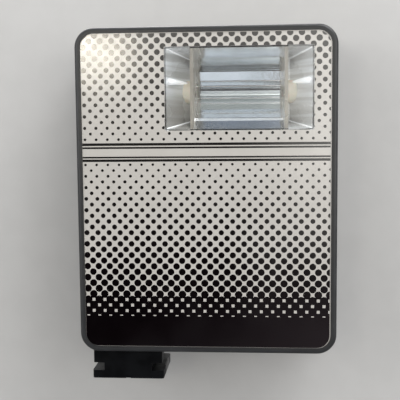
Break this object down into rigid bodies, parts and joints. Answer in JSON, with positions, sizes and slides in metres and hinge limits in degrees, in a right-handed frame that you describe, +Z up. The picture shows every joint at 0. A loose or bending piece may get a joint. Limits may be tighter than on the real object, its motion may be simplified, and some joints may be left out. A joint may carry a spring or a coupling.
{
  "type": "electronic flash gun",
  "caption": "Pocket electronic flash: upright flat casing with a dotted front panel, a corner flash window, a rear dial and battery door, and a slide-in accessory-shoe foot.",
  "frame": {"origin": "centre of the underside of the foot plate, where the flash meets the accessory shoe", "axes": "+Z up out of the shoe along the casing's height; the window and front panel face -Y; +X to the right seen from the front; the foot slides into a shoe along Y"},
  "size_m": [0.065, 0.0273, 0.0896],
  "materials": {
    "casing_plastic": "fine satin, moulded charcoal",
    "panel_print": "satin silver cream with black halftone dots",
    "scale_print": "satin black with white scales",
    "window_clear": "clear polished acrylic",
    "reflector_metal": "bright vacuum metallised",
    "cheek_plastic": "translucent tan",
    "tube_glass": "clear glass",
    "neon_glass": "glass bulb",
    "steel": "plain steel",
    "cream_rubber": "matte cream silicone",
    "black_plastic": "smooth black",
    "dial_plastic": "satin black with white numbers",
    "cell_jacket": "printed plastic jacket and bright steel ends",
    "nickel": "bright nickel plate",
    "contact_brass": "polished by use",
    "capacitor_sleeve": "shrunk sleeve",
    "seal_rubber": "matte",
    "board": "phenolic paper laminate",
    "ferrite": "dark ceramic ferrite",
    "winding": "enamelled wire under tape",
    "coil_wax": "waxed winding",
    "dipped_resin": "dipped resin",
    "resistor_body": "lacquered, colour bands",
    "wire_insulation": "soft insulation",
    "lamp_lens": "translucent orange",
    "button_plastic": "satin grey",
    "foam": "soft foam"
  },
  "bodies": {
    "casing": {"front_shell": "casing_plastic", "rear_shell": "casing_plastic", "front_panel": "panel_print", "flash_window": "window_clear", "reflector": "reflector_metal", "reflector_cheeks": "cheek_plastic", "flash_tube": "tube_glass", "tube_electrodes": "steel", "tube_sleeves": "cream_rubber", "battery_box": "black_plastic", "battery_cells": "cell_jacket", "battery_contacts": "nickel", "hinge_pin": "steel", "foot_guide": "black_plastic", "detent_spring": "steel", "main_capacitor": "capacitor_sleeve", "capacitor_seal": "seal_rubber", "circuit_board": "board", "transformer_core": "ferrite", "transformer_winding": "winding", "trigger_coil": "coil_wax", "trigger_capacitor": "dipped_resin", "switching_transistor": "black_plastic", "diode": "black_plastic", "resistors": "resistor_body", "wires": "wire_insulation", "neon_lamp": "neon_glass", "ready_lens": "lamp_lens", "switch_body": "black_plastic", "test_contact": "contact_brass", "scale_plate": "scale_print", "dial_rivet": "nickel", "casing_screws": "steel", "test_spring": "steel"},
    "foot": {"foot": "black_plastic", "foot_contact": "contact_brass", "foot_earth_strip": "steel"},
    "battery_door": {"battery_door": "casing_plastic", "door_pad": "foam"},
    "calculator_dial": {"calculator_dial": "dial_plastic"},
    "switch_knob": {"switch_knob": "black_plastic"},
    "test_button": {"test_button": "button_plastic"}
  },
  "joints": [
    {"name": "foot_slide", "type": "slide", "parent": "casing", "child": "foot", "axis": [0, 0, 1], "range_m": [0, 0.0056]},
    {"name": "door_hinge", "type": "hinge", "parent": "casing", "child": "battery_door", "pos_m": [0.0208, 0.0132, 0.0116], "axis": [-1, 0, 0], "range_deg": [0, 90]},
    {"name": "dial_turn", "type": "hinge", "parent": "casing", "child": "calculator_dial", "pos_m": [0.0208, 0.015, 0.0706], "axis": [0, 1, 0], "continuous": true},
    {"name": "power_slide", "type": "slide", "parent": "casing", "child": "switch_knob", "axis": [1, 0, 0], "range_m": [0, 0.004]},
    {"name": "test_press", "type": "slide", "parent": "casing", "child": "test_button", "axis": [0, -1, 0], "range_m": [0, 0.0008], "stiffness_N_per_m": 300, "springref_m": -0.0008, "deforming": ["test_spring"]}
  ]
}
